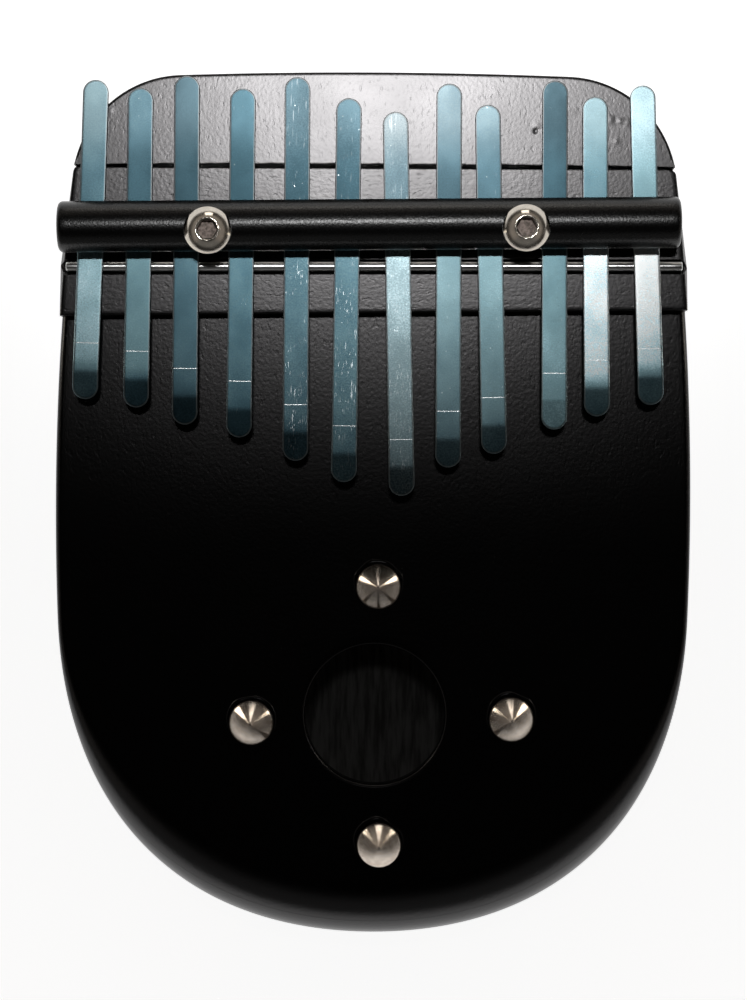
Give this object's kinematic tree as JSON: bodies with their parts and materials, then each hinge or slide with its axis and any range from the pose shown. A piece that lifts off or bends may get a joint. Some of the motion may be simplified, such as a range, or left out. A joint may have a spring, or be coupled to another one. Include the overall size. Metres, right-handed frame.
{
  "type": "kalimba",
  "caption": "Thumb piano with a hollow black wooden body, a round sound hole ringed by cone studs, and blued steel tines clamped under a round bar over a bridge rod.",
  "frame": {"origin": "on the flat back face, under the middle of the body's bounding box", "axes": "+X to the player's right, +Y along the body from the sound hole to the pressure bar, +Z out of the soundboard"},
  "size_m": [0.1458, 0.1984, 0.0519],
  "materials": {
    "body_paint": "black satin paint over solid wood",
    "tine_steel": "blue-tempered spring steel with bare scratched edges",
    "bar_black": "black satin coating on a steel bar",
    "rod_chrome": "bright drawn rod",
    "screw_steel": "polished stainless steel",
    "stud_nickel": "polished nickel plate",
    "insert_brass": "machined brass"
  },
  "bodies": {
    "body": {"back_board": "body_paint", "side_frame": "body_paint", "soundboard": "body_paint", "head_strip": "body_paint", "bridge_block": "body_paint", "bridge_rod": "rod_chrome", "pressure_bar": "bar_black", "bar_screw_left": "screw_steel", "bar_screw_right": "screw_steel", "threaded_insert_left": "insert_brass", "threaded_insert_right": "insert_brass", "stud_rear": "stud_nickel", "stud_left": "stud_nickel", "stud_right": "stud_nickel", "stud_front": "stud_nickel"},
    "tine_01": {"tine_01": "tine_steel"},
    "tine_02": {"tine_02": "tine_steel"},
    "tine_03": {"tine_03": "tine_steel"},
    "tine_04": {"tine_04": "tine_steel"},
    "tine_05": {"tine_05": "tine_steel"},
    "tine_06": {"tine_06": "tine_steel"},
    "tine_07": {"tine_07": "tine_steel"},
    "tine_08": {"tine_08": "tine_steel"},
    "tine_09": {"tine_09": "tine_steel"},
    "tine_10": {"tine_10": "tine_steel"},
    "tine_11": {"tine_11": "tine_steel"},
    "tine_12": {"tine_12": "tine_steel"}
  },
  "joints": [
    {"name": "tine_01_flex", "type": "hinge", "parent": "body", "child": "tine_01", "pos_m": [-0.0645, 0.05465, 0.0373], "axis": [0.9996, -0.0279, 0], "range_deg": [-0.35, 1.5], "stiffness_Nm_per_rad": 1.5},
    {"name": "tine_02_flex", "type": "hinge", "parent": "body", "child": "tine_02", "pos_m": [-0.0535, 0.0547, 0.0373], "axis": [1, -0.007, 0], "range_deg": [-0.35, 1.5], "stiffness_Nm_per_rad": 1.5},
    {"name": "tine_03_flex", "type": "hinge", "parent": "body", "child": "tine_03", "pos_m": [-0.0427, 0.05475, 0.0373], "axis": [1, 0, 0], "range_deg": [-0.35, 1.5], "stiffness_Nm_per_rad": 1.5},
    {"name": "tine_04_flex", "type": "hinge", "parent": "body", "child": "tine_04", "pos_m": [-0.0302, 0.05481, 0.0373], "axis": [1, -0.0052, 0], "range_deg": [-0.35, 1.5], "stiffness_Nm_per_rad": 1.5},
    {"name": "tine_05_flex", "type": "hinge", "parent": "body", "child": "tine_05", "pos_m": [-0.0176, 0.05487, 0.0373], "axis": [1, 0, 0], "range_deg": [-0.35, 1.5], "stiffness_Nm_per_rad": 1.5},
    {"name": "tine_06_flex", "type": "hinge", "parent": "body", "child": "tine_06", "pos_m": [-0.0062, 0.05492, 0.0373], "axis": [1, -0.0087, 0], "range_deg": [-0.35, 1.5], "stiffness_Nm_per_rad": 1.5},
    {"name": "tine_07_flex", "type": "hinge", "parent": "body", "child": "tine_07", "pos_m": [0.0054, 0.05498, 0.0373], "axis": [0.9998, 0.0209, 0], "range_deg": [-0.35, 1.5], "stiffness_Nm_per_rad": 1.5},
    {"name": "tine_08_flex", "type": "hinge", "parent": "body", "child": "tine_08", "pos_m": [0.0169, 0.05503, 0.0373], "axis": [1, 0, 0], "range_deg": [-0.35, 1.5], "stiffness_Nm_per_rad": 1.5},
    {"name": "tine_09_flex", "type": "hinge", "parent": "body", "child": "tine_09", "pos_m": [0.0264, 0.05507, 0.0373], "axis": [0.9998, 0.0209, 0], "range_deg": [-0.35, 1.5], "stiffness_Nm_per_rad": 1.5},
    {"name": "tine_10_flex", "type": "hinge", "parent": "body", "child": "tine_10", "pos_m": [0.0409, 0.05514, 0.0373], "axis": [1, -0.0017, 0], "range_deg": [-0.35, 1.5], "stiffness_Nm_per_rad": 1.5},
    {"name": "tine_11_flex", "type": "hinge", "parent": "body", "child": "tine_11", "pos_m": [0.0503, 0.05519, 0.0373], "axis": [1, 0.007, 0], "range_deg": [-0.35, 1.5], "stiffness_Nm_per_rad": 1.5},
    {"name": "tine_12_flex", "type": "hinge", "parent": "body", "child": "tine_12", "pos_m": [0.0619, 0.05524, 0.0373], "axis": [0.9996, 0.0279, 0], "range_deg": [-0.35, 1.5], "stiffness_Nm_per_rad": 1.5}
  ]
}
